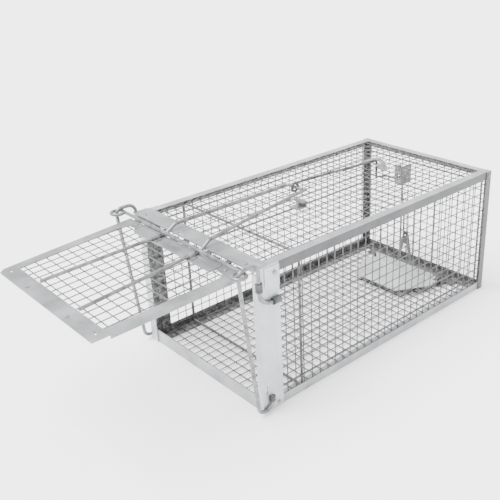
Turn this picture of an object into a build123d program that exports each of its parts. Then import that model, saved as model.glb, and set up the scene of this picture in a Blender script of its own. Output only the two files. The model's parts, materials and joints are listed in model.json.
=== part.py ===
from build123d import *
import math
import os

# Live catch trap: a galvanised wire mesh cage with a drop door, set open.
# Every piece is modelled in millimetres from the cage's front plane (y = 0), with the door
# on the -Y side, the length along +Y and the ground at z = 0. On export everything is
# shifted along Y so that the origin is the centre of the whole trap's footprint.

# Cage
cage_length = 264.0
cage_width = 142.0
cage_height = 114.0
sheet = 0.8
half_width = cage_width / 2
top_flange = 7.0
side_flange = 7.0
floor_flange = 11.0
floor_upstand = 6.5
rear_flange = 10.0
rear_post_leg = 5.5
rear_post_back = 5.0
front_post_leg = 18.0
front_flange_left = 8.0
front_flange_right = 4.5
flap = 0.5
sill_height = 11.5
sill_depth = 9.0
plate_front = -4.5
plate_rear = 10.0

# Welded mesh
mesh_wire = 1.0
mesh_pitch_x = 8.15
mesh_pitch_y = 8.2
mesh_pitch_z = 8.15
first_wire_y = 8.4
first_wire_z = 5.0
wires_along_length = 32
wires_across = 17
wires_up = 14
hoop_wire = 2.0
hoop_y = 39.5

# Door, in its own frame: d runs from the hinge pin to the free end, h is its outer side
hinge_y = -6.2
hinge_z = 112.2
hinge_pin = 2.0
door_rest_droop = 2.6
door_length = 109.5
door_half_width_hinge = 68.0
door_half_width_free = 63.5
door_side_strip = 8.0
door_end_strip = 12.0
door_hinge_strip_start = 3.0
door_hinge_strip_end = 14.5
door_hinge_strip_half = 47.5
door_flange = 2.8
door_mesh_columns = 16
door_mesh_rows = 12
door_mesh_first_row = 11.5
knuckle_outer = 1.8
knuckle_bore = 1.05
knuckle_width = 5.0
cage_knuckles = (-48.0, -26.5, 0.0, 26.5, 48.0)
door_knuckles = (-60.0, -36.0, -12.0, 12.0, 36.0, 60.0)

# Lever wires: they run from the door's free end over the hinge to the rear of the cage
lever_wire = 2.6
lever_free_x = 26.0
lever_free_d = 96.8
lever_free_h = 1.0
lever_hinge_x = 21.0
lever_hinge_d = 1.8
lever_hinge_h = 1.85
lever_rear_x = 9.8
lever_axle_y = 100.0
lever_axle_z = 125.4

# Guides and lock bar
guide_wire = 2.8
guide_x = half_width + sheet + 0.1 + guide_wire / 2
guide_top_y = -17.9
guide_low_y = -5.9
guide_arch_gap = 2.9
guide_hook_z = 3.6
lock_wire = 2.6
lock_ring = 4.7
lock_y = -12.0
lock_z_left = 117.7
lock_z_right = 116.1

# Pull rod
rod_wire = 2.0
rod_eye = 3.2
rod_tail_x = -mesh_pitch_x / 2
rod_tail_y = 201.1
rod_tail_top = 122.0
rod_tail_bottom = 106.0

# Trigger
trigger_x = mesh_pitch_x / 2
pedal_pin = 1.8
pedal_pin_y = 239.0
pedal_pin_z = 6.2
pedal_front_y = 192.0
pedal_rear_y = 234.0
pedal_front_half = 25.0
pedal_rear_half = 41.0
pedal_rest_tilt = 2.0
ear_height = 38.0
link_wire = 1.6
link_pin_y = 226.0
link_pin_z = 101.0
link_hole_z = 40.0
strip_front_y = 246.0
strip_rear_y = 254.0

rear_face_y = cage_length + sheet
door_tip_y = (
    hinge_y
    - door_length * math.cos(math.radians(door_rest_droop))
    - sheet / 2 * math.sin(math.radians(door_rest_droop))
)
front_y = -(rear_face_y + door_tip_y) / 2


def block(x0, x1, y0, y1, z0, z1):
    """A box between two corners."""
    centre = Pos((x0 + x1) / 2, (y0 + y1) / 2, (z0 + z1) / 2)
    return centre * Box(abs(x1 - x0), abs(y1 - y0), abs(z1 - z0))


def both_sides(make):
    """The same piece on the left (-1) and on the right (+1)."""
    return {"left": make(-1), "right": make(1)}


def bar_x(x0, x1, y, z, diameter):
    """A round bar along X."""
    middle = Pos((x0 + x1) / 2, y, z)
    return middle * Rot(0, 90, 0) * Cylinder(diameter / 2, abs(x1 - x0))


def ring_x(x, y, z, outer, bore, width):
    """A short tube whose axis is along X."""
    tube = Cylinder(outer, width) - Cylinder(bore, width + 1)
    return Pos(x, y, z) * Rot(0, 90, 0) * tube


def bent_wire(points, radii, diameter):
    """A round wire along straight runs joined by arcs."""
    path = FilletPolyline(*points, radius=radii) if radii else Polyline(*points)
    profile = Plane(origin=path @ 0, z_dir=path % 0) * Circle(diameter / 2)
    return sweep(profile, path=path)


def join(pieces):
    """Fuse touching pieces into one solid."""
    body = pieces[0]
    for piece in pieces[1:]:
        body = body + piece
    return body


def steps(first, pitch, count):
    """Evenly spaced wire positions."""
    return [first + pitch * i for i in range(count)]


def centred(pitch, count):
    """Evenly spaced wire positions about zero."""
    return steps(-pitch * (count - 1) / 2, pitch, count)


def mesh_panel(us, vs, plane):
    """A flat panel of crossing wires, at positions us and vs in the plane, one wire thick."""
    edge = mesh_wire / 2

    def frame(u0, u1, v0, v1):
        corners = [(u0, v0), (u1, v0), (u1, v1), (u0, v1)]
        return Wire.make_polygon([Vector(u, v) for u, v in corners], close=True)

    outline = frame(us[0] - edge, us[-1] + edge, vs[0] - edge, vs[-1] + edge)
    cells = []
    for u0, u1 in zip(us, us[1:]):
        for v0, v1 in zip(vs, vs[1:]):
            cells.append(frame(u0 + edge, u1 - edge, v0 + edge, v1 - edge))
    grid = extrude(Face(outline, cells), mesh_wire, dir=(0, 0, 1))
    return plane * grid


def cage_wires():
    """Wire positions of the five cage panels."""
    xs = centred(mesh_pitch_x, wires_across)
    ys = steps(first_wire_y, mesh_pitch_y, wires_along_length)
    zs = steps(first_wire_z, mesh_pitch_z, wires_up)
    return xs, ys, zs


def cage_meshes():
    """Top, floor, side and rear panels, inside the rails."""
    xs, ys, zs = cage_wires()
    inner_ys = ys[:-1] + [rear_inner_y() - mesh_wire / 2]
    side_x = half_width - sheet
    return {
        "mesh_top": mesh_panel(xs, inner_ys, Plane.XY.offset(cage_height - sheet - mesh_wire)),
        "mesh_floor": mesh_panel(xs, inner_ys, Plane.XY.offset(sheet)),
        "mesh_right": mesh_panel(ys, zs, Plane.YZ.offset(side_x - mesh_wire)),
        "mesh_left": mesh_panel(ys, zs, Plane.YZ.offset(-side_x)),
        "mesh_rear": mesh_panel(xs, zs, Plane.XZ.offset(sheet - cage_length)),
    }


def rear_inner_y():
    """Front side of the rear panel's wires, less a small gap."""
    return cage_length - sheet - mesh_wire - 0.2


def top_rail(side):
    """Angle strip along the top edge of the cage."""
    outer = side * half_width
    flat = block(side * (half_width - top_flange), outer, 0, cage_length, cage_height - sheet, cage_height)
    web = block(outer - side * sheet, outer, 0, cage_length, cage_height - side_flange, cage_height)
    return flat + web


def bottom_rail(side):
    """Angle strip along the bottom edge of the cage."""
    outer = side * half_width
    rear = cage_length - sheet
    flat = block(side * (half_width - floor_flange), outer, sheet, rear, 0, sheet)
    web = block(outer - side * sheet, outer, sheet, rear, 0, floor_upstand)
    return flat + web


def rear_top_rail():
    """Angle strip across the rear top edge, between the side rails."""
    flat_half = half_width - top_flange - 0.2
    web_half = half_width - sheet - 0.2
    rear = cage_length
    flat = block(-flat_half, flat_half, rear - top_flange, rear, cage_height - sheet, cage_height)
    web = block(-web_half, web_half, rear - sheet, rear, cage_height - side_flange, cage_height - sheet)
    seam = block(-flat_half, flat_half, rear - sheet, rear, cage_height - 2 * sheet, cage_height)
    return flat + web + seam


def rear_bottom_rail():
    """Angle strip across the rear bottom edge."""
    flat_half = half_width - floor_flange - 0.2
    web_half = half_width - sheet - 0.2
    rear = cage_length
    flat = block(-flat_half, flat_half, rear - rear_flange, rear, 0, sheet)
    web = block(-web_half, web_half, rear - sheet, rear, 0, floor_upstand)
    return flat + web


def rear_post(side):
    """Outer corner angle at the rear, full height."""
    outer = side * (half_width + sheet)
    inner = side * half_width
    leg = block(inner, outer, cage_length - rear_post_leg, rear_face_y, 0, cage_height)
    back = block(side * (half_width - rear_post_back), outer, cage_length, rear_face_y, 0, cage_height)
    return leg + back


def front_post(side):
    """Wide side strip with a narrow front flange, a slit for the guide's hook and a top flap."""
    outer = side * (half_width + sheet)
    inner = side * half_width
    leg = block(inner, outer, -sheet, front_post_leg, 0, cage_height)
    width = front_flange_left if side < 0 else front_flange_right
    flange = block(side * (half_width - width), outer, -sheet, 0, 0, cage_height - 4)
    cover = block(inner, outer + side * flap, 5.0, front_post_leg, 97.5, cage_height - 1)
    corner = cover.edges().filter_by(Axis.X).group_by(Axis.Y)[0].group_by(Axis.Z)[0]
    slit = block(inner - side, outer + side, 2.4, 3.6, 14, 22)
    return leg + flange + fillet(corner, 3.0) - slit


def front_sill():
    """Strip across the front bottom edge, with a flange under the floor mesh."""
    face_half = half_width - sheet
    foot_half = half_width - floor_flange - 0.2
    face = block(-face_half, face_half, 0, sheet, 0, sill_height)
    foot = block(-foot_half, foot_half, 0, sill_depth, 0, sheet)
    return face + foot


def front_top_plate():
    """Wide strip over the front top edge, which carries the hinge, with its punched slot."""
    half = half_width + sheet
    plate = block(-half, half, plate_front, plate_rear, cage_height, cage_height + sheet)
    rear_edges = plate.edges().filter_by(Axis.Z).group_by(Axis.Y)[-1]
    plate = chamfer(rear_edges, 2.5)
    long_slot = block(-15, -6, -2.4, -1.2, cage_height - 1, cage_height + 2)
    short_slot = block(-14.6, -13.4, 1.5, 8.0, cage_height - 1, cage_height + 2)
    return plate - long_slot - short_slot


def hoop_parts():
    """Heavier stiffening wires welded inside the mesh, one on each wall."""
    wall_x = half_width - sheet - mesh_wire - hoop_wire / 2
    ceiling_z = cage_height - sheet - mesh_wire - hoop_wire / 2
    floor_z = sheet + mesh_wire + hoop_wire / 2
    reach = wall_x - hoop_wire / 2 - 0.2
    middle_z = (ceiling_z + floor_z) / 2
    height = ceiling_z - floor_z + hoop_wire
    return {
        "hoop_top": bar_x(-reach, reach, hoop_y, ceiling_z, hoop_wire),
        "hoop_floor": bar_x(-reach, reach, hoop_y, floor_z, hoop_wire),
        "hoop_left": Pos(-wall_x, hoop_y, middle_z) * Cylinder(hoop_wire / 2, height),
        "hoop_right": Pos(wall_x, hoop_y, middle_z) * Cylinder(hoop_wire / 2, height),
    }


def lock_z(side):
    """Height of the lock bar's end; the bar lies a little askew."""
    return lock_z_left if side < 0 else lock_z_right


def guide_rod(side):
    """Removable guide: a hook at the foot, a slanted shaft and an arch hooked to the post."""
    x = side * guide_x
    arch_z = lock_z(side) + guide_arch_gap
    path = [
        (x, 16.5, 87.5),
        (x, -1.0, 87.5),
        (x, -1.0, arch_z),
        (x, guide_top_y, arch_z),
        (x, guide_low_y, guide_hook_z),
        (x, 6.2, guide_hook_z),
        (x, 6.2, 13.5),
    ]
    return bent_wire(path, [11.0, 6.5, 4.5, 5.5, 5.5], guide_wire)


def guide_clips(side):
    """Three loops pressed out of the post, which hold the guide rod."""
    x = side * guide_x
    bore = guide_wire / 2 + 0.05
    tube = Cylinder(bore + 1.1, 6.4) - Cylinder(bore, 8)
    upper = Pos(x, -1.0, 102.0) * tube
    middle = Pos(x, 13.6, 87.5) * Rot(90, 0, 0) * tube
    lower = Pos(x, 6.2, 11.3) * (Cylinder(bore + 0.9, 3.8) - Cylinder(bore, 5))
    face = side * (half_width + sheet)
    inside = block(face - side * 10, face, -20, 30, 0, cage_height)
    return [upper - inside, middle - inside, lower - inside]


def hinge_pin_bar():
    """Straight pin on which the door turns."""
    return bar_x(-65, 65, hinge_y, hinge_z, hinge_pin)


def cage_hinge_knuckles():
    """Curled tabs under the top plate that hold the hinge pin."""
    pieces = []
    for x in cage_knuckles:
        ring = ring_x(x, hinge_y, hinge_z, knuckle_outer, knuckle_bore, knuckle_width)
        half = knuckle_width / 2
        tab = block(x - half, x + half, hinge_y, -1.0, hinge_z + 1.1, cage_height)
        bore = bar_x(x - half - 1, x + half + 1, hinge_y, hinge_z, 2 * knuckle_bore)
        pieces.append(ring + tab - bore)
    return pieces


def rivet(x, y, z, direction, radius=1.6, height=0.7):
    """A low domed rivet head on a face with the given outward direction."""
    dome = Pos(0, 0, -height) * Sphere(radius * 1.25)
    cap = dome & Pos(0, 0, height / 2) * Cylinder(radius, height)
    return Plane(origin=(x, y, z), z_dir=direction) * cap


def frame_rivets():
    """Rivet heads on the posts and on the front plate."""
    heads = []
    for side in (-1, 1):
        face = side * (half_width + sheet)
        outward = (side, 0, 0)
        heads.append(rivet(face + side * flap, 13.7, 108, outward))
        heads.append(rivet(face, 13.5, 4, outward, radius=1.4))
        heads.append(rivet(side * 60.3, -0.5, cage_height + sheet, (0, 0, 1), radius=1.4))
        heads.append(rivet(face, cage_length - 2.5, 110, outward, radius=1.3))
        heads.append(rivet(face, cage_length - 2.5, 3.5, outward, radius=1.3))
    return heads


def rod_bridge():
    """Arched leaf on the top mesh; the pull rod's tail drops through its hole."""
    middle_x = -9.5
    middle_y = 203.5
    half = 14.0
    base = cage_height - sheet
    crown = 120.6
    outer = ThreePointArc((middle_x - half, base), (middle_x, crown), (middle_x + half, base))
    inner = ThreePointArc(
        (middle_x - half + 1.2, base), (middle_x, crown - sheet), (middle_x + half - 1.2, base)
    )
    edges = [outer, Line(outer @ 1, inner @ 1), inner, Line(inner @ 0, outer @ 0)]
    arch_face = Plane.XZ * make_face(edges)
    arch = Pos(0, middle_y + 20, 0) * extrude(arch_face, 40)
    rounded = ThreePointArc(
        (middle_x - half - 0.5, middle_y + 2.5),
        (middle_x, middle_y + 6.8),
        (middle_x + half + 0.5, middle_y + 2.5),
    )
    opposite = ThreePointArc(
        (middle_x - half - 0.5, middle_y - 2.5),
        (middle_x, middle_y - 6.8),
        (middle_x + half + 0.5, middle_y - 2.5),
    )
    outline = [rounded, Line(rounded @ 1, opposite @ 1), opposite, Line(opposite @ 0, rounded @ 0)]
    leaf = Pos(0, 0, base - 5) * extrude(make_face(outline), 20)
    slot = Pos(rod_tail_x, rod_tail_y + 1.0, base) * extrude(SlotOverall(7.2, 4.4, rotation=90), 12)
    return (arch & leaf) - slot


def arm_rest():
    """Small folded sheet on the top mesh, under the lever wires."""
    base = cage_height - sheet
    foot = block(5.5, 15.5, 88, 98, base, base + sheet)
    wall = block(5.5, 15.5, 97.2, 98, base, base + 5.5)
    lip = block(5.5, 15.5, 92.5, 98, base + 5.5 - sheet, base + 5.5)
    return foot + wall + lip


def trigger_bracket():
    """Folded bracket hooked over a wire of the top mesh, slotted for the trigger link."""
    top = cage_height - sheet - mesh_wire - 0.05
    front_face = 222.4
    rear_face = front_face + sheet
    left = trigger_x - 5.0
    right = trigger_x + 2.2
    hook_half = 2.0
    front = block(left, right, front_face, rear_face, 95, top)
    side = block(right - sheet, right, front_face, 237, 95, top)
    tongue = block(trigger_x - hook_half, trigger_x + hook_half, front_face, rear_face, top, cage_height)
    hook = block(
        trigger_x - hook_half, trigger_x + hook_half, 219.8, rear_face, cage_height - 0.5, cage_height + 0.3
    )
    slot = block(trigger_x - 1.5, trigger_x + 1.3, front_face - 1, rear_face + 1, 100.8, 104.8)
    return front + side + tongue + hook - slot


def bracket_pin():
    """Short pin in the bracket, on which the trigger link turns."""
    return bar_x(trigger_x - 2.6, trigger_x + 1.4, link_pin_y, link_pin_z, link_wire)


def pedal_base_strip():
    """Strip across the floor mesh with two upright ears for the pedal's pin."""
    floor_top = sheet + mesh_wire
    strip = block(-52, 52, strip_front_y, strip_rear_y, floor_top, floor_top + sheet)
    body = strip
    for side in (-1, 1):
        x = trigger_x + side * 38
        tongue = block(x - 3, x + 3, 235.5, strip_front_y, floor_top, floor_top + sheet)
        ear = block(x, x + sheet, 235.5, 243.0, floor_top, 9.5)
        body = body + tongue + ear
    bore = bar_x(-60, 60, pedal_pin_y, pedal_pin_z, pedal_pin + 0.1)
    return body - bore


def pedal_pin_bar():
    """Pin on which the pedal tips."""
    return bar_x(trigger_x - 41, trigger_x + 41, pedal_pin_y, pedal_pin_z, pedal_pin)


def on_pedal(piece):
    """Tip a piece of the pedal to its set position, front edge raised."""
    pivot = Pos(0, pedal_pin_y, pedal_pin_z)
    return pivot * Rot(-pedal_rest_tilt, 0, 0) * piece


def pedal_plate():
    """Trapezoid foot plate with a raised rear lip, and two curled knuckles."""
    front = pedal_front_y - pedal_pin_y
    rear = pedal_rear_y - pedal_pin_y
    outline = Polyline(
        (trigger_x - pedal_front_half, front),
        (trigger_x + pedal_front_half, front),
        (trigger_x + pedal_rear_half, rear - 9),
        (trigger_x + pedal_rear_half - 5, rear),
        (trigger_x - pedal_rear_half + 5, rear),
        (trigger_x - pedal_rear_half, rear - 9),
        close=True,
    )
    plate = extrude(make_face(outline), sheet)
    lip_half = pedal_rear_half - 7
    lip = block(trigger_x - lip_half, trigger_x + lip_half, rear - sheet, rear, 0, 6.5)
    body = plate + lip
    for side in (-1, 1):
        x = trigger_x + side * 31
        tab = block(x - 3, x + 3, rear - 1, -0.2, 0, sheet)
        ring = ring_x(x, 0, 0, 1.75, pedal_pin / 2 + 0.06, 6)
        body = body + tab + ring - bar_x(x - 4, x + 4, 0, 0, pedal_pin + 0.12)
    return on_pedal(body)


def pedal_ear():
    """Upright ear of two legs behind the pedal's lip, with a hole for the link at its top."""
    rear = pedal_rear_y - pedal_pin_y
    shape = Polyline(
        (trigger_x - 11, 1.0),
        (trigger_x + 11, 1.0),
        (trigger_x + 2.6, ear_height),
        (trigger_x - 2.6, ear_height),
        close=True,
    )
    opening = Polyline(
        (trigger_x - 6.2, 9.0),
        (trigger_x + 6.2, 9.0),
        (trigger_x + 2.2, 26.0),
        (trigger_x - 2.2, 26.0),
        close=True,
    )
    face = Plane.XZ * (make_face(shape) - make_face(opening))
    ear = Pos(0, rear + sheet, 0) * extrude(face, sheet)
    hole_height = link_hole_z - pedal_pin_z
    hole = Pos(trigger_x, rear, hole_height) * Rot(90, 0, 0) * Cylinder(1.7, 6)
    return on_pedal(ear - hole)


def trigger_link():
    """Bent wire from the pedal's ear to the bracket pin, and on to the pull rod's tail."""
    eye_radius = link_wire + 0.15
    eye_top = link_pin_z + eye_radius
    eye = Pos(trigger_x, link_pin_y, link_pin_z) * Rot(0, 90, 0) * Torus(eye_radius, link_wire / 2)
    catch_x = rod_tail_x + rod_wire / 2 + link_wire / 2 + 0.4
    catch_z = 107.0
    arm = bent_wire(
        [
            (trigger_x, link_pin_y, eye_top),
            (trigger_x, link_pin_y - 9, eye_top),
            (trigger_x - 1.5, 208.0, catch_z),
            (catch_x, 202.5, catch_z),
            (catch_x, 198.0, catch_z),
        ],
        [3, 3, 2.5],
        link_wire,
    )
    ear_y = link_ear_y()
    leg = bent_wire(
        [
            (trigger_x, link_pin_y + eye_radius, link_pin_z),
            (trigger_x, link_pin_y + eye_radius, 88.0),
            (trigger_x, ear_y - 3.2, 60.0),
            (trigger_x, ear_y - 3.2, link_hole_z),
            (trigger_x, ear_y + 4.0, link_hole_z),
        ],
        [8, 8, 1.8],
        link_wire,
    )
    bore = bar_x(trigger_x - 2, trigger_x + 2, link_pin_y, link_pin_z, link_wire + 0.3)
    return eye + arm + leg - bore


def link_ear_y():
    """Where the pedal's ear stands, at the height of its hole, in the set position."""
    tilt = math.radians(pedal_rest_tilt)
    rear = pedal_rear_y - pedal_pin_y
    height = link_hole_z - pedal_pin_z
    return pedal_pin_y + rear * math.cos(tilt) + height * math.sin(tilt)


def on_door(piece):
    """Turn a piece from the door's own frame (x, -d, h) to the set door about its pin."""
    pivot = Pos(0, hinge_y, hinge_z)
    return pivot * Rot(door_rest_droop, 0, 0) * piece


def door_half_width(d):
    """Half the door's width at a distance from the hinge; it narrows to the free end."""
    return door_half_width_hinge + (door_half_width_free - door_half_width_hinge) * d / door_length


def door_side(side):
    """Edge strip with a turned down flange; at the hinge it turns in and meets the hinge strip."""
    near = door_hinge_strip_start
    far = door_length - door_end_strip
    outer_near = door_half_width(near)
    outer_far = door_half_width(far)
    turn_x = door_hinge_strip_half + 0.5
    outline = Polyline(
        (side * outer_near, -near),
        (side * outer_far, -far),
        (side * (outer_far - door_side_strip), -far),
        (side * (door_half_width(16) - door_side_strip), -16),
        (side * (door_half_width(16) - door_side_strip - 2.5), -10.5),
        (side * turn_x, -9.5),
        (side * turn_x, -near),
        close=True,
    )
    edge = Polyline(
        (side * outer_near, -near),
        (side * outer_far, -far),
        (side * (outer_far - sheet), -far),
        (side * (outer_near - sheet), -near),
        close=True,
    )
    flat = Pos(0, 0, -sheet / 2) * extrude(make_face(outline), sheet)
    flange = Pos(0, 0, -door_flange) * extrude(make_face(edge), door_flange)
    return on_door(flat + flange)


def door_end():
    """Wide strip across the free end, with one clipped corner and two small holes."""
    near = door_length - door_end_strip
    wide = door_half_width(near)
    narrow = door_half_width(door_length)
    outline = Polyline(
        (-wide, -near),
        (wide, -near),
        (narrow, -door_length),
        (-narrow + 3.5, -door_length),
        (-narrow, -door_length + 4),
        close=True,
    )
    plate = Pos(0, 0, -sheet / 2) * extrude(make_face(outline), sheet)
    for side in (-1, 1):
        plate = plate - Pos(side * 56.5, -103.0, 0) * Box(3.2, 1.6, 4)
    return on_door(plate)


def door_hinge_strip():
    """Strip along the hinge, between the knuckles and the mesh."""
    depth = door_hinge_strip_end - door_hinge_strip_start
    middle = (door_hinge_strip_end + door_hinge_strip_start) / 2
    strip = Pos(0, -middle, 0) * Box(2 * door_hinge_strip_half, depth, sheet)
    corners = strip.edges().filter_by(Axis.Z).group_by(Axis.Y)[0]
    return on_door(fillet(corners, 4.0))


def door_hinge_knuckles():
    """Curled tabs of the hinge strip, round the pin."""
    pieces = []
    for x in door_knuckles:
        half = knuckle_width / 2
        ring = ring_x(x, 0, 0, knuckle_outer, knuckle_bore, knuckle_width)
        tab = block(x - half, x + half, -door_hinge_strip_start, 0, -sheet / 2, sheet / 2)
        bore = bar_x(x - half - 1, x + half + 1, 0, 0, 2 * knuckle_bore)
        pieces.append(on_door(ring + tab - bore))
    return pieces


def door_mesh():
    """Welded mesh behind the door's strips."""
    xs = centred(mesh_pitch_x, door_mesh_columns)
    ds = steps(-door_mesh_first_row - mesh_pitch_y * (door_mesh_rows - 1), mesh_pitch_y, door_mesh_rows)
    return on_door(mesh_panel(xs, ds, Plane.XY.offset(-sheet / 2 - mesh_wire)))


def door_point(x, d, h):
    """A point of the set door's own frame, in cage coordinates."""
    droop = math.radians(door_rest_droop)
    y = hinge_y - d * math.cos(droop) - h * math.sin(droop)
    z = hinge_z - d * math.sin(droop) + h * math.cos(droop)
    return (x, y, z)


def lever_x(d):
    """Distance of a lever wire from the middle of the door, at a distance from the hinge."""
    slope = (lever_free_x - lever_hinge_x) / (lever_free_d - lever_hinge_d)
    return lever_hinge_x + slope * (d - lever_hinge_d)


def lever_h(d):
    """Height of a lever wire's centre over the door; it sinks on to the mesh at the free end."""
    slope = (lever_free_h - lever_hinge_h) / (lever_free_d - lever_hinge_d)
    return lever_hinge_h + slope * (d - lever_hinge_d)


def lever_path(side):
    """From the free end, along the door, up over the hinge and back over the cage."""
    return [
        door_point(side * lever_free_x, lever_free_d, lever_free_h),
        door_point(side * lever_hinge_x, lever_hinge_d, lever_hinge_h),
        (side * 20.4, 0.0, 119.3),
        (side * 19.8, 7.0, 120.1),
        (side * 10.6, 90.0, 124.6),
    ]


def lever_wire_left():
    """Left lever wire; its rear end turns across as the pull rod's axle."""
    path = lever_path(-1)
    path.append((-lever_rear_x, lever_axle_y, lever_axle_z))
    path.append((lever_rear_x - lever_wire / 2 - 0.05, lever_axle_y, lever_axle_z))
    return bent_wire(path, [3.0, 3.0, 12.0, 12.0, 3.0], lever_wire)


def lever_wire_right():
    """Right lever wire; it ends beside the axle."""
    path = lever_path(1)
    path.append((lever_rear_x, lever_axle_y + 2.5, lever_axle_z))
    return bent_wire(path, [3.0, 3.0, 12.0, 12.0], lever_wire)


def wire_clips():
    """Small sheet saddles that hold the lever wires down beside the hinge."""
    pieces = []
    d = 10.6
    bore = lever_wire / 2 + 0.08
    rise = lever_x(1) - lever_x(0)
    fall = lever_h(1) - lever_h(0)
    for side in (-1, 1):
        x = side * lever_x(d)
        along = Plane(origin=(x, -d, lever_h(d)), z_dir=(side * rise, -1, fall))
        saddle = along * Cylinder(bore + 0.8, 5)
        wings = block(x - 4.8, x + 4.8, -d - 2.4, -d + 2.4, sheet / 2, sheet / 2 + 0.7)
        channel = along * Cylinder(bore, 9)
        below = block(x - 9, x + 9, -d - 9, -d + 9, -9, sheet / 2)
        pieces.append(on_door(saddle + wings - channel - below))
    return pieces


def door_rivets():
    """Rivet heads on the end strip and at the strip joints."""
    heads = []
    for side in (-1, 1):
        for x, d in ((27.0, 105.5), (54.0, 6.3)):
            heads.append(on_door(rivet(side * x, -d, sheet / 2, (0, 0, 1), radius=1.5)))
    return heads


def lock_bar():
    """Bar with an eye at each end, threaded on the two guide rods."""
    ring_y = lock_y - lock_ring + 0.15
    ends = [(side * (guide_x + 0.6), lock_y, lock_z(side)) for side in (-1, 1)]
    eyes = []
    for side in (-1, 1):
        eyes.append(Pos(side * guide_x, ring_y, lock_z(side)) * Torus(lock_ring, lock_wire / 2))
    return join([bent_wire(ends, [], lock_wire)] + eyes)


def pull_rod():
    """Wire with an eye on the lever's axle and a tail turned down at the rear."""
    eye = Pos(0, lever_axle_y, lever_axle_z) * Rot(0, 90, 0) * Torus(rod_eye, rod_wire / 2)
    shank = bent_wire(
        [
            (0, lever_axle_y, lever_axle_z + rod_eye),
            (0, lever_axle_y + 5.0, lever_axle_z + rod_eye),
            (rod_tail_x, rod_tail_y, rod_tail_top),
            (rod_tail_x, rod_tail_y, rod_tail_bottom),
        ],
        [8.0, 3.0],
        rod_wire,
    )
    return eye + shank


def all_nodes():
    """Every sub-part by its node name."""
    nodes = {
        "front_sill": front_sill(),
        "front_top_plate": front_top_plate(),
        "rear_top_rail": rear_top_rail(),
        "rear_bottom_rail": rear_bottom_rail(),
        "hinge_pin": hinge_pin_bar(),
        "cage_hinge_knuckles": cage_hinge_knuckles(),
        "frame_rivets": frame_rivets(),
        "rod_bridge": rod_bridge(),
        "arm_rest": arm_rest(),
        "trigger_bracket": trigger_bracket(),
        "bracket_pin": bracket_pin(),
        "pedal_base_strip": pedal_base_strip(),
        "pedal_pin": pedal_pin_bar(),
        "pedal_plate": pedal_plate(),
        "pedal_ear": pedal_ear(),
        "trigger_link": trigger_link(),
        "door_end_strip": door_end(),
        "door_hinge_strip": door_hinge_strip(),
        "door_hinge_knuckles": door_hinge_knuckles(),
        "door_mesh": door_mesh(),
        "door_wire_clips": wire_clips(),
        "door_rivets": door_rivets(),
        "lever_wire_left": lever_wire_left(),
        "lever_wire_right": lever_wire_right(),
        "lock_bar": lock_bar(),
        "pull_rod": pull_rod(),
    }
    nodes.update(cage_meshes())
    nodes.update(hoop_parts())
    pairs = {
        "top_rail": top_rail,
        "bottom_rail": bottom_rail,
        "rear_post": rear_post,
        "front_post": front_post,
        "guide_rod": guide_rod,
        "guide_clips": guide_clips,
        "door_side": door_side,
    }
    for name, make in pairs.items():
        for side, piece in both_sides(make).items():
            nodes[f"{name}_{side}"] = piece
    return nodes


def export_nodes():
    """Write one STEP per node, shifted to the trap's own origin."""
    os.makedirs("parts", exist_ok=True)
    to_origin = Pos(0, front_y, 0)
    for name, piece in all_nodes().items():
        solids = piece if isinstance(piece, list) else [piece]
        placed = [to_origin * solid for solid in solids]
        body = placed[0] if len(placed) == 1 else Compound(children=placed)
        export_step(body, f"parts/{name}.step")
    print("front_y", round(front_y, 3))


export_nodes()
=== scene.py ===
import json
import math
import random

import bmesh
import bpy
from mathutils import Matrix, Vector


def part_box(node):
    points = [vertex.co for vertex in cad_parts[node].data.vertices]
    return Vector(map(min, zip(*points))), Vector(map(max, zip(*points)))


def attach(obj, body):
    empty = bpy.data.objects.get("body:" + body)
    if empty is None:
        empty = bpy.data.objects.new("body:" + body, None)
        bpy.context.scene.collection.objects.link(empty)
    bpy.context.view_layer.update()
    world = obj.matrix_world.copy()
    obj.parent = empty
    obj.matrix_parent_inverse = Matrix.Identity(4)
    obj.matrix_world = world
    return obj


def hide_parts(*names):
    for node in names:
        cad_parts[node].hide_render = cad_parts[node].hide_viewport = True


# A live catch trap, set open. Lengths are in millimetres in the cage's own axes: x across,
# y back from the front plane, z up. at() and on_door() turn them into the frame's metres.
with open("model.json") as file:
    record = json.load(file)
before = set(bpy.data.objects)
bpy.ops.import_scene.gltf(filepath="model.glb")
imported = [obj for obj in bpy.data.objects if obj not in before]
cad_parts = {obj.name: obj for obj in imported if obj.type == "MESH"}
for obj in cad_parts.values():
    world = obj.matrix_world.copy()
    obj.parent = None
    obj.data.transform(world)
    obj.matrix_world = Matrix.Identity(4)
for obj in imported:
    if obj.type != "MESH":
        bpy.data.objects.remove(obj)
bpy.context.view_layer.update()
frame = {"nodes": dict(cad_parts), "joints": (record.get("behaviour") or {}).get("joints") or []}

MM = 0.001
FRONT_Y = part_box("front_sill")[0].y
JOINTS = {joint["name"]: joint for joint in frame["joints"]}
HINGE = Vector(JOINTS["door_hinge"]["pos_m"])
DROOP = math.radians(2.6)

SHEET = 0.8
WIRE = 0.86
PITCH_X = 8.15
PITCH_Y = 8.2
PITCH_Z = 8.15
CAD_WIRE = 1.0
WIRES_ACROSS = 17
WIRES_ALONG = 32
WIRES_UP = 14
LAST_WIRE_INSET = 1.2
DOOR_COLUMNS = 16
DOOR_ROWS = 12
DOOR_FIRST_ROW = 11.5
LAYER_GAP = 0.78
BEAD_SIZE = 0.62
EDGE_ROUNDING = 0.25
SPANGLE_SCALE = 190


def in_cage(point):
    """A point of the frame in the cage's own millimetres."""
    return Vector((point.x, point.y - FRONT_Y, point.z)) / MM


def at(x, y, z):
    """A point of the cage, in the frame's metres."""
    return Vector((x * MM, FRONT_Y + y * MM, z * MM))


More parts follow.
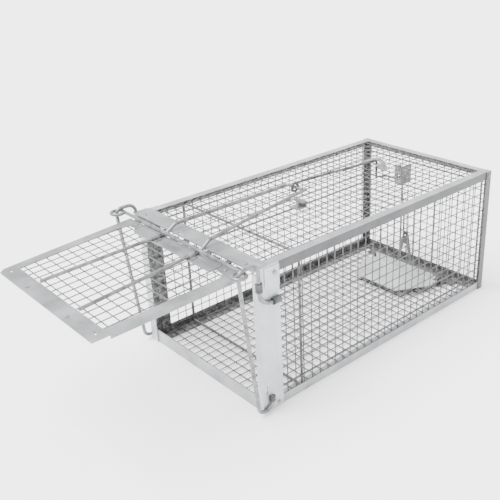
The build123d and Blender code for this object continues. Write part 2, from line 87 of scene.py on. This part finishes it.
def on_door(x, d, h):
    """A point of the open door: x across, d out from its pin, h above its middle plane."""
    out = d * math.cos(DROOP) + h * math.sin(DROOP)
    up = h * math.cos(DROOP) - d * math.sin(DROOP)
    return Vector((x * MM, HINGE.y - out * MM, HINGE.z + up * MM))


CAGE_MAX = in_cage(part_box("rear_post_right")[1])
HALF = CAGE_MAX.x - SHEET
LENGTH = CAGE_MAX.y - SHEET
HEIGHT = CAGE_MAX.z


# ---------------------------------------------------------------- materials

def nodes_of(material):
    """An empty node tree with its shader, linked to the output."""
    material.use_nodes = True
    tree = material.node_tree
    tree.nodes.clear()
    output = tree.nodes.new("ShaderNodeOutputMaterial")
    shader = tree.nodes.new("ShaderNodeBsdfPrincipled")
    tree.links.new(shader.outputs["BSDF"], output.inputs["Surface"])
    return tree, shader


def scaled_position(tree, scale):
    """Object coordinates, stretched by a scale on each axis."""
    coordinates = tree.nodes.new("ShaderNodeTexCoord")
    mapping = tree.nodes.new("ShaderNodeMapping")
    mapping.inputs["Scale"].default_value = scale
    tree.links.new(coordinates.outputs["Object"], mapping.inputs["Vector"])
    return mapping.outputs["Vector"]


def ramp(tree, value, stops):
    """A colour ramp over a value; stops are (position, grey or colour)."""
    node = tree.nodes.new("ShaderNodeValToRGB")
    elements = node.color_ramp.elements
    while len(elements) < len(stops):
        elements.new(0.5)
    for element, (position, colour) in zip(elements, stops):
        element.position = position
        element.color = (*colour, 1) if isinstance(colour, tuple) else (colour, colour, colour, 1)
    tree.links.new(value, node.inputs["Fac"])
    return node.outputs["Color"]


def mixed(tree, mode, amount, first, second):
    """Two colours mixed; amount is a number or an output."""
    node = tree.nodes.new("ShaderNodeMix")
    node.data_type = "RGBA"
    node.blend_type = mode
    if isinstance(amount, float):
        node.inputs["Factor"].default_value = amount
    else:
        tree.links.new(amount, node.inputs["Factor"])
    tree.links.new(first, node.inputs[6])
    tree.links.new(second, node.inputs[7])
    return node.outputs[2]


def noise(tree, vector, scale, detail=3.0, rough=0.55):
    """A noise value over a vector."""
    node = tree.nodes.new("ShaderNodeTexNoise")
    node.inputs["Scale"].default_value = scale
    node.inputs["Detail"].default_value = detail
    node.inputs["Roughness"].default_value = rough
    tree.links.new(vector, node.inputs["Vector"])
    return node.outputs["Fac"]


def bumped(tree, shader, heights):
    """Chain bumps into the shader's normal; heights are (value, distance, strength)."""
    last = None
    for value, distance, strength in heights:
        node = tree.nodes.new("ShaderNodeBump")
        node.inputs["Distance"].default_value = distance
        node.inputs["Strength"].default_value = strength
        tree.links.new(value, node.inputs["Height"])
        if last:
            tree.links.new(last, node.inputs["Normal"])
        last = node.outputs["Normal"]
    tree.links.new(last, shader.inputs["Normal"])


def facing(tree, direction, start=0.30, end=0.55):
    """One on the faces that look towards a direction of the object, zero elsewhere."""
    coordinates = tree.nodes.new("ShaderNodeTexCoord")
    dot = tree.nodes.new("ShaderNodeVectorMath")
    dot.operation = "DOT_PRODUCT"
    dot.inputs[1].default_value = direction
    tree.links.new(coordinates.outputs["Normal"], dot.inputs[0])
    return ramp(tree, dot.outputs["Value"], [(start, 0.0), (end, 1.0)])


def zinc_sheet(name, look, inside, shaded):
    """Galvanised sheet: spangle, clouds, rolling scratches and smears.

    Faces that look inside get a mottled pattern darkened as painted shade; faces that look towards
    shaded get painted shade and are darker."""
    dark, light, metallic, rough, grain = look
    material = bpy.data.materials.new(name)
    tree, shader = nodes_of(material)
    position = scaled_position(tree, (1, 1, 1))
    spangle = tree.nodes.new("ShaderNodeTexVoronoi")
    spangle.inputs["Scale"].default_value = SPANGLE_SCALE
    tree.links.new(position, spangle.inputs["Vector"])
    tone = ramp(tree, spangle.outputs["Color"], [(0.0, 0.82), (0.5, 0.95), (1.0, 1.0)])
    clouds = noise(tree, position, 42, 4.0)
    base = ramp(tree, clouds, [(0.34, dark), (0.66, light)])
    body = mixed(tree, "MULTIPLY", 0.6, base, tone)
    scratches = noise(tree, scaled_position(tree, grain), 900, 2.0)
    marks = ramp(tree, scratches, [(0.30, 0.84), (0.48, 1.0)])
    body = mixed(tree, "MULTIPLY", 0.6, body, marks)
    smears = noise(tree, position, 120, 5.0, 0.65)
    stains = ramp(tree, smears, [(0.60, 1.0), (0.74, 0.6)])
    body = mixed(tree, "MULTIPLY", 0.5, body, stains)
    # Painted shade: faces that look inside are mixed to a dark mottled tone, a mottled pattern under
    # painted shade.
    blotches = noise(tree, position, 260, 5.0, 0.7)
    dark_mottled = ramp(tree, blotches, [(0.36, 0.05), (0.50, 0.15), (0.66, 0.34)])
    body = mixed(tree, "MIX", facing(tree, inside), body, dark_mottled)
    shade = ramp(tree, facing(tree, shaded, 0.6, 0.9), [(0.0, 1.0), (1.0, 0.28)])
    body = mixed(tree, "MULTIPLY", 1.0, body, shade)
    tree.links.new(body, shader.inputs["Base Color"])
    shader.inputs["Metallic"].default_value = metallic
    uneven = ramp(tree, clouds, [(0.3, rough - 0.07), (0.7, rough + 0.1)])
    tree.links.new(uneven, shader.inputs["Roughness"])
    bumped(tree, shader, [(spangle.outputs["Distance"], 0.0002, 0.10), (scratches, 0.0001, 0.12)])
    return material


def zinc_wire(name, dark, light, metallic, rough):
    """Galvanised wire: patches of darker and lighter zinc, and beads of zinc."""
    material = bpy.data.materials.new(name)
    tree, shader = nodes_of(material)
    position = scaled_position(tree, (1, 1, 1))
    patches = noise(tree, position, 160, 4.0)
    base = ramp(tree, patches, [(0.32, dark), (0.64, light)])
    beads = noise(tree, position, 1300, 3.0)
    tone = ramp(tree, beads, [(0.35, 0.80), (0.55, 1.0)])
    tree.links.new(mixed(tree, "MULTIPLY", 0.7, base, tone), shader.inputs["Base Color"])
    shader.inputs["Metallic"].default_value = metallic
    uneven = ramp(tree, patches, [(0.3, rough - 0.06), (0.7, rough + 0.1)])
    tree.links.new(uneven, shader.inputs["Roughness"])
    bumped(tree, shader, [(beads, 0.00005, 0.15)])
    return material


# Each sheet: its darkest and lightest tone, how metallic, how rough, and how its grain is stretched.
SHEETS = {
    "post": ((0.42, 0.45, 0.47), (0.54, 0.57, 0.59), 0.50, 0.42, (1, 1, 0.06)),
    "rail": ((0.27, 0.28, 0.29), (0.42, 0.43, 0.44), 0.55, 0.40, (1, 0.06, 1)),
    "cross": ((0.24, 0.25, 0.26), (0.42, 0.43, 0.44), 0.50, 0.42, (0.06, 1, 1)),
    "plate": ((0.17, 0.178, 0.182), (0.30, 0.31, 0.318), 0.50, 0.42, (0.06, 1, 1)),
    "pedal": ((0.42, 0.43, 0.44), (0.60, 0.61, 0.62), 0.40, 0.42, (0.06, 1, 1)),
    "dark_mottled": ((0.05, 0.05, 0.052), (0.18, 0.18, 0.182), 0.50, 0.45, (1, 1, 1)),
}

WIRES = {
    "mesh": zinc_wire("mesh_zinc", (0.065, 0.065, 0.067), (0.15, 0.15, 0.153), 0.50, 0.42),
    "wire": zinc_wire("bright_wire", (0.11, 0.112, 0.115), (0.26, 0.265, 0.27), 0.65, 0.28),
    "trim": zinc_wire("trim_zinc", (0.14, 0.142, 0.145), (0.32, 0.322, 0.325), 0.60, 0.32),
    "dark": zinc_wire("dark_wire", (0.03, 0.03, 0.032), (0.12, 0.12, 0.123), 0.50, 0.40),
}

SHEET_CACHE = {}


def material_for(kind, inside, shaded):
    """The zinc of a kind; sheets have one material for every direction of their inner faces."""
    if kind in WIRES:
        return WIRES[kind]
    key = (kind, inside, shaded)
    if key not in SHEET_CACHE:
        name = f"{kind}_zinc_{len(SHEET_CACHE)}"
        SHEET_CACHE[key] = zinc_sheet(name, SHEETS[kind], inside, shaded)
    return SHEET_CACHE[key]


def dress(obj, kind, inside=(0, 0, -1), shaded=(0, 0, 0)):
    """Give an object one of the zinc materials."""
    obj.data.materials.clear()
    obj.data.materials.append(material_for(kind, inside, shaded))


# ---------------------------------------------------------------- shapes

def finish_piece(name, mesh, kind, body, replaced=()):
    """Link a mesh as a piece: smooth except at its sharp edges, dressed, riding its body."""
    for polygon in mesh.polygons:
        polygon.use_smooth = True
    mesh.set_sharp_from_angle(angle=math.radians(38))
    piece = bpy.data.objects.new(name, mesh)
    bpy.context.scene.collection.objects.link(piece)
    dress(piece, kind)
    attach(piece, body)
    if replaced:
        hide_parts(*replaced)
    return piece


def tube_rings(points, radius, sides):
    """Rings of vertices round a path, kept from twisting."""
    rings = []
    across = None
    for index, point in enumerate(points):
        before = points[max(index - 1, 0)]
        after = points[min(index + 1, len(points) - 1)]
        along = (after - before).normalized()
        if across is None:
            across = along.orthogonal().normalized()
        across = (across - along * across.dot(along)).normalized()
        other = along.cross(across)
        ring = []
        for k in range(sides):
            angle = 2 * math.pi * k / sides
            ring.append(point + (across * math.cos(angle) + other * math.sin(angle)) * radius)
        rings.append(ring)
    return rings


def add_tube(vertices, faces, points, radius, sides=8):
    """Append a closed round wire along points, with chamfered ends."""
    start = points[0]
    end = points[-1]
    inset = radius * 0.35
    first = (points[1] - start).normalized()
    last = (end - points[-2]).normalized()
    path = [start, start + first * inset] + list(points[1:-1]) + [end - last * inset, end]
    rings = tube_rings(path, radius, sides)
    for ring, centre in ((rings[0], start), (rings[-1], end)):
        for k in range(sides):
            ring[k] = centre + (ring[k] - centre) * 0.7
    base = len(vertices)
    for ring in rings:
        vertices.extend(ring)
    for i in range(len(rings) - 1):
        for k in range(sides):
            a = base + i * sides + k
            b = base + i * sides + (k + 1) % sides
            faces.append((a, b, b + sides, a + sides))
    faces.append(tuple(base + k for k in reversed(range(sides))))
    last_ring = base + (len(rings) - 1) * sides
    faces.append(tuple(last_ring + k for k in range(sides)))


def weld_bead(vertices, faces, centre, radius):
    """Append a small bead of zinc where two wires cross."""
    bead = bmesh.new()
    bmesh.ops.create_icosphere(bead, subdivisions=1, radius=radius)
    base = len(vertices)
    vertices.extend(centre + v.co for v in bead.verts)
    faces.extend(tuple(base + v.index for v in face.verts) for face in bead.faces)
    bead.free()


def mesh_from(name, vertices, faces):
    """A Blender mesh from vertices and faces, with its normals outward."""
    mesh = bpy.data.meshes.new(name)
    mesh.from_pydata(vertices, [], faces)
    shape = bmesh.new()
    shape.from_mesh(mesh)
    bmesh.ops.recalc_face_normals(shape, faces=shape.faces)
    shape.to_mesh(mesh)
    shape.free()
    return mesh


def welded_panel(name, us, vs, place, body, seed):
    """Welded mesh of round wires in two layers, with beads at the crossings.

    place(u, v, depth) gives a point; depth 0 is the panel's outer side."""
    rng = random.Random(seed)
    outer = WIRE / 2
    inner = WIRE / 2 + WIRE * LAYER_GAP
    overhang = 0.9
    vertices = []
    faces = []

    def wires(fixed, run, depth, point):
        stops = [run[0] - overhang] + list(run) + [run[-1] + overhang]
        for value in fixed:
            drift = rng.uniform(-0.12, 0.12)
            path = []
            for stop in stops:
                sway = drift + rng.uniform(-0.07, 0.07)
                path.append(point(value + sway, stop, depth + rng.uniform(-0.05, 0.05)))
            add_tube(vertices, faces, path, WIRE / 2 * MM)

    wires(us, vs, inner, place)
    wires(vs, us, outer, lambda fixed, run, depth: place(run, fixed, depth))
    for u in us:
        for v in vs:
            weld_bead(vertices, faces, place(u, v, (outer + inner) / 2), WIRE * BEAD_SIZE * MM)
    panel = mesh_from(name, vertices, faces)
    return finish_piece(name, panel, "mesh", body, [name_of(name)])


def name_of(piece_name):
    """The CAD node that a piece named NODE_wires stands for."""
    return piece_name.replace("_wires", "")


def spread(first, pitch, count):
    """Evenly spaced positions."""
    return [first + pitch * i for i in range(count)]


def centred(pitch, count):
    """Evenly spaced positions about zero."""
    return spread(-pitch * (count - 1) / 2, pitch, count)


# ---------------------------------------------------------------- the cage's mesh

def build_cage_mesh():
    """The five panels of the cage."""
    xs = centred(PITCH_X, WIRES_ACROSS)
    ys = spread(in_cage(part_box("mesh_left")[0]).y + CAD_WIRE / 2, PITCH_Y, WIRES_ALONG)
    ys[-1] -= LAST_WIRE_INSET
    zs = spread(in_cage(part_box("mesh_left")[0]).z + CAD_WIRE / 2, PITCH_Z, WIRES_UP)
    top = HEIGHT - SHEET
    side = HALF - SHEET
    rear = LENGTH - SHEET
    welded_panel("mesh_top_wires", xs, ys, lambda u, v, d: at(u, v, top - d), "cage", 11)
    welded_panel("mesh_floor_wires", xs, ys, lambda u, v, d: at(u, v, SHEET + d), "cage", 12)
    welded_panel("mesh_left_wires", ys, zs, lambda u, v, d: at(d - side, u, v), "cage", 13)
    welded_panel("mesh_right_wires", ys, zs, lambda u, v, d: at(side - d, u, v), "cage", 14)
    welded_panel("mesh_rear_wires", xs, zs, lambda u, v, d: at(u, rear - d, v), "cage", 15)


def build_door_mesh():
    """The door's panel, under its strips."""
    xs = centred(PITCH_X, DOOR_COLUMNS)
    ds = spread(DOOR_FIRST_ROW, PITCH_Y, DOOR_ROWS)
    under = -SHEET / 2
    welded_panel("door_mesh_wires", xs, ds, lambda u, v, d: on_door(u, v, under - d), "door", 16)


def inside_of(node, side):
    """The direction in which a sheet node's inner faces look; side is -1 left, 1 right, 0 none."""
    if node.startswith("top_rail"):
        return (-side, 0, -1)
    if node == "bottom_rail_left":
        return (1, 0, 1)
    if node == "bottom_rail_right":
        return (-1, 0, 0)
    if node == "trigger_bracket":
        return (1, 0, 0)
    if node.startswith("rear_post"):
        return (-side, -1, 0)
    if node.startswith("front_post"):
        return (-side, 1, 0)
    if node == "rear_top_rail":
        return (0, -1, -1)
    if node == "rear_bottom_rail":
        return (0, -1, 1)
    if node == "front_sill":
        return (0, 1, 1)
    return (0, 0, -1)


def shaded_of(node, side):
    """The direction in which a sheet node's outer faces are darker."""
    if node.startswith(("top_rail", "rear_post")):
        return (side, 0, 0)
    return (0, 0, 0)


def soft_edges(obj, width):
    """Rolled, slightly rounded edges."""
    bevel = obj.modifiers.new("edges", "BEVEL")
    bevel.width = width * MM
    bevel.segments = 2
    bevel.limit_method = "ANGLE"
    bevel.angle_limit = math.radians(40)


def dress_cad_nodes():
    """Every CAD node gets the material of its kind, and sheets get rounded edges."""
    kinds = (
        ("front_post", "post"), ("rear_post", "rail"), ("top_rail", "rail"), ("bottom_rail", "rail"),
        ("rear_top_rail", "cross"), ("rear_bottom_rail", "cross"), ("front_sill", "cross"),
        ("front_top_plate", "plate"), ("door_hinge_strip", "plate"), ("door_end_strip", "plate"),
        ("door_side", "plate"), ("hoop", "mesh"), ("pedal_plate", "pedal"), ("pedal_ear", "dark_mottled"),
        # guide_clips take the dark wire as painted shade, for the shadows round their loops.
        ("pedal_base", "dark_mottled"), ("trigger_bracket", "plate"), ("guide_clips", "dark"),
        ("hinge_pin", "wire"), ("cage_hinge", "dark"), ("door_hinge_knuckles", "dark"),
        ("guide_rod", "wire"), ("lever_wire", "wire"), ("lock_bar", "wire"),
        ("pull_rod", "dark"), ("trigger_link", "dark"),
    )
    for node, obj in frame["nodes"].items():
        kind = next((k for prefix, k in kinds if node.startswith(prefix)), "trim")
        side = node.endswith("_right") - node.endswith("_left")
        dress(obj, kind, inside_of(node, side), shaded_of(node, side))
        if kind in SHEETS:
            soft_edges(obj, EDGE_ROUNDING)


# ---------------------------------------------------------------- stage, light and camera

def flat_material(name, colour, rough):
    """A plain matt material for the stage."""
    material = bpy.data.materials.new(name)
    material.use_nodes = True
    shader = material.node_tree.nodes["Principled BSDF"]
    shader.inputs["Base Color"].default_value = (*colour, 1)
    shader.inputs["Roughness"].default_value = rough
    return material


def build_stage():
    """A plain pale floor."""
    bpy.ops.mesh.primitive_plane_add(size=12)
    floor = bpy.context.object
    floor.name = "floor"
    floor.data.materials.append(flat_material("pale_floor", (0.97, 0.97, 0.97), 0.9))


def sun_light(name, direction, strength, softness):
    """A wide soft light from a direction, given as the way its light travels."""
    light = bpy.data.lights.new(name, "SUN")
    light.energy = strength
    light.angle = math.radians(softness)
    lamp = bpy.data.objects.new(name, light)
    lamp.rotation_euler = direction.to_track_quat("-Z", "Y").to_euler()
    bpy.context.scene.collection.objects.link(lamp)


def build_light():
    """A bright room with a soft key from the front left and above."""
    world = bpy.data.worlds.new("studio")
    bpy.context.scene.world = world
    world.use_nodes = True
    background = world.node_tree.nodes["Background"]
    background.inputs["Color"].default_value = (1.0, 1.0, 1.0, 1)
    background.inputs["Strength"].default_value = 2.4
    sun_light("key", Vector((0.35, 0.75, -1.6)), 8.0, 40)


def build_camera():
    """The photographer's view: from the front right, a little above."""
    azimuth = math.radians(47.53)
    elevation = math.radians(24.42)
    roll = math.radians(-1.52)
    back = Vector((
        math.sin(azimuth) * math.cos(elevation),
        -math.cos(azimuth) * math.cos(elevation),
        math.sin(elevation),
    ))
    right = Vector((math.cos(azimuth), math.sin(azimuth), 0))
    up = back.cross(right)
    tilted_right = right * math.cos(roll) + up * math.sin(roll)
    tilted_up = up * math.cos(roll) - right * math.sin(roll)
    turn = Matrix((tilted_right, tilted_up, back)).transposed().to_4x4()
    camera = bpy.data.cameras.new("camera")
    camera.sensor_width = 36
    camera.lens = 53.6
    camera.shift_x = -0.0961
    camera.shift_y = -0.0244
    camera.clip_start = 0.01
    holder = bpy.data.objects.new("camera", camera)
    holder.matrix_world = Matrix.Translation(at(406.24, -270.06, 331.06)) @ turn
    bpy.context.scene.collection.objects.link(holder)
    bpy.context.scene.camera = holder


dress_cad_nodes()
build_cage_mesh()
build_door_mesh()
build_stage()
build_light()
build_camera()
